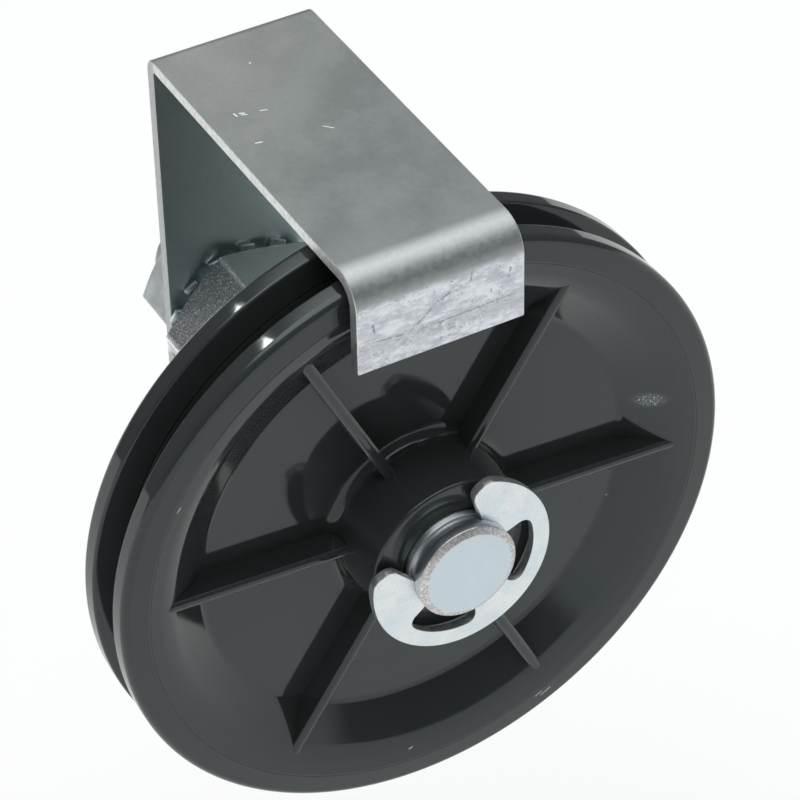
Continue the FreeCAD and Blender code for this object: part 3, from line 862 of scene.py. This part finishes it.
metal = blend(sheet, pitted, metal, (0.23, 0.24, 0.28, 1))
metal = blend(sheet, times(sheet, scratch, 0.75), metal, (0.2, 0.21, 0.23, 1))
metal = blend(sheet, nicks, metal, (0.95, 0.97, 0.97, 1))
shine = fade(sheet, grit, 0.3, 0.7, 0.36, 0.44)
shine = calc(sheet, "ADD", shine, times(sheet, on_top, 0.2))
shine = calc(sheet, "ADD", shine, times(sheet, on_bend, 0.13))
shine = calc(sheet, "SUBTRACT", shine, times(sheet, in_leg, 0.06))
shine = calc(sheet, "SUBTRACT", shine, times(sheet, nicks, 0.2))
skin = relief(sheet, cloud, 0.008)
skin = relief(sheet, grit, 0.005, skin)
skin = relief(sheet, flakes, 0.005, skin)
skin = relief(sheet, times(sheet, grain, on_bend), 0.022, skin)
skin = relief(sheet, calc(sheet, "MAXIMUM", scratch, nicks), -0.02, skin)
coat(sheet, metal, shine, skin, Metallic=1.0)
cover(guard, sheet)
paint_faces(guard, cut_edge, lambda face: abs(face.normal.x) > 0.5)
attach(guard, "frame")
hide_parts("rope_guard")

# Lock washer: a hardened steel ring, zinc plated, with sixteen teeth round its outside that
# are twisted, so that they bite into the hexagon in front and the guard behind.
WASHER_FRONT = 50.1
WASHER_BACK = 51.5
WASHER_BORE = 7.25
WASHER_RING = 11.9
TEETH = 16
TOOTH_SIZE = Vector((3.3, 1.0, 3.0))
TOOTH_TAPER = (1, 0.6, 0.83)
TOOTH_TWIST = 14
TOOTH_RADIUS = 12.65

washer = on_lathe(
    "toothed_washer",
    [
        (WASHER_BORE, WASHER_FRONT, 0.15, 2),
        (WASHER_RING, WASHER_FRONT, 0.15, 2),
        (WASHER_RING, WASHER_BACK, 0.15, 2),
        (WASHER_BORE, WASHER_BACK, 0.15, 2),
    ],
    96,
)
tooth_place = Vector((TOOTH_RADIUS, (WASHER_FRONT + WASHER_BACK) / 2, 0)) * MM
bpy.ops.object.select_all(action="DESELECT")
bpy.ops.mesh.primitive_cube_add(size=1.0, location=(0, 0, 0), scale=TOOTH_SIZE * MM)
teeth = bpy.context.object
bpy.ops.object.transform_apply(location=True, rotation=True, scale=True)
start_editing(teeth)
pick(teeth, "FACE", lambda face: face.normal.x > 0.9)
bpy.ops.transform.resize(value=TOOTH_TAPER)
bpy.ops.transform.rotate(
    value=math.radians(TOOTH_TWIST), orient_axis="X", center_override=(0, 0, 0)
)
bpy.ops.mesh.select_all(action="SELECT")
bpy.ops.transform.translate(value=tooth_place)
copy_round(TEETH)
stop_editing()
soften(teeth, 0.08, 2)
join_pieces(washer, teeth)
shade_round()
cover(washer, zinc)
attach(washer, "frame")
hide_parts("lock_washer")

# Clamp nut: an M14 hexagon nut of dull zinc plated steel, its corners turned down on both
# faces. It presses the guard and the lock washer against the stud's hexagon.
NUT_FLATS = 22.0
NUT_FRONT = 53.5
NUT_BACK = 64.5
NUT_FACE = 10.6
NUT_BORE = 7.05
NUT_BORE_EDGE = 0.9
NUT_BLANK = 16.0
NUT_CORNER = 30.0
NUT_TURN = 3.0

nut = hexagon("nut", NUT_FLATS, NUT_FRONT, NUT_BACK, 0.2)
nut_corner_depth = (NUT_BLANK - NUT_FACE) * math.tan(math.radians(NUT_CORNER))
nut_blank = on_lathe(
    "nut_blank",
    [
        (NUT_BORE, NUT_FRONT + NUT_BORE_EDGE),
        (NUT_BORE + NUT_BORE_EDGE, NUT_FRONT),
        (NUT_FACE, NUT_FRONT, 0.2, 2),
        (NUT_BLANK, NUT_FRONT + nut_corner_depth),
        (NUT_BLANK, NUT_BACK - nut_corner_depth),
        (NUT_FACE, NUT_BACK, 0.2, 2),
        (NUT_BORE + NUT_BORE_EDGE, NUT_BACK),
        (NUT_BORE, NUT_BACK - NUT_BORE_EDGE),
    ],
    96,
)
carve(nut, nut_blank, "INTERSECT")
turn_piece(nut, NUT_TURN)
shade_round(20)

dull, spot = new_material("dull_zinc")
cloud = noise(dull, spot, 0.3, 4, 0.6)
fine = noise(dull, spot, 2.5, 4, 0.65)
cloudy = fade(dull, cloud, 0.3, 0.7)
metal = blend(dull, cloudy, (0.62, 0.65, 0.65, 1), (0.76, 0.79, 0.78, 1))
metal = blend(dull, fade(dull, fine, 0.55, 0.7, 0.0, 0.4), metal, (0.45, 0.47, 0.47, 1))
shine = fade(dull, cloud, 0.3, 0.7, 0.56, 0.68)
skin = relief(dull, fine, 0.008)
coat(dull, metal, shine, skin, Metallic=1.0)
cover(nut, dull)
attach(nut, "frame")
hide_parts("clamp_nut")
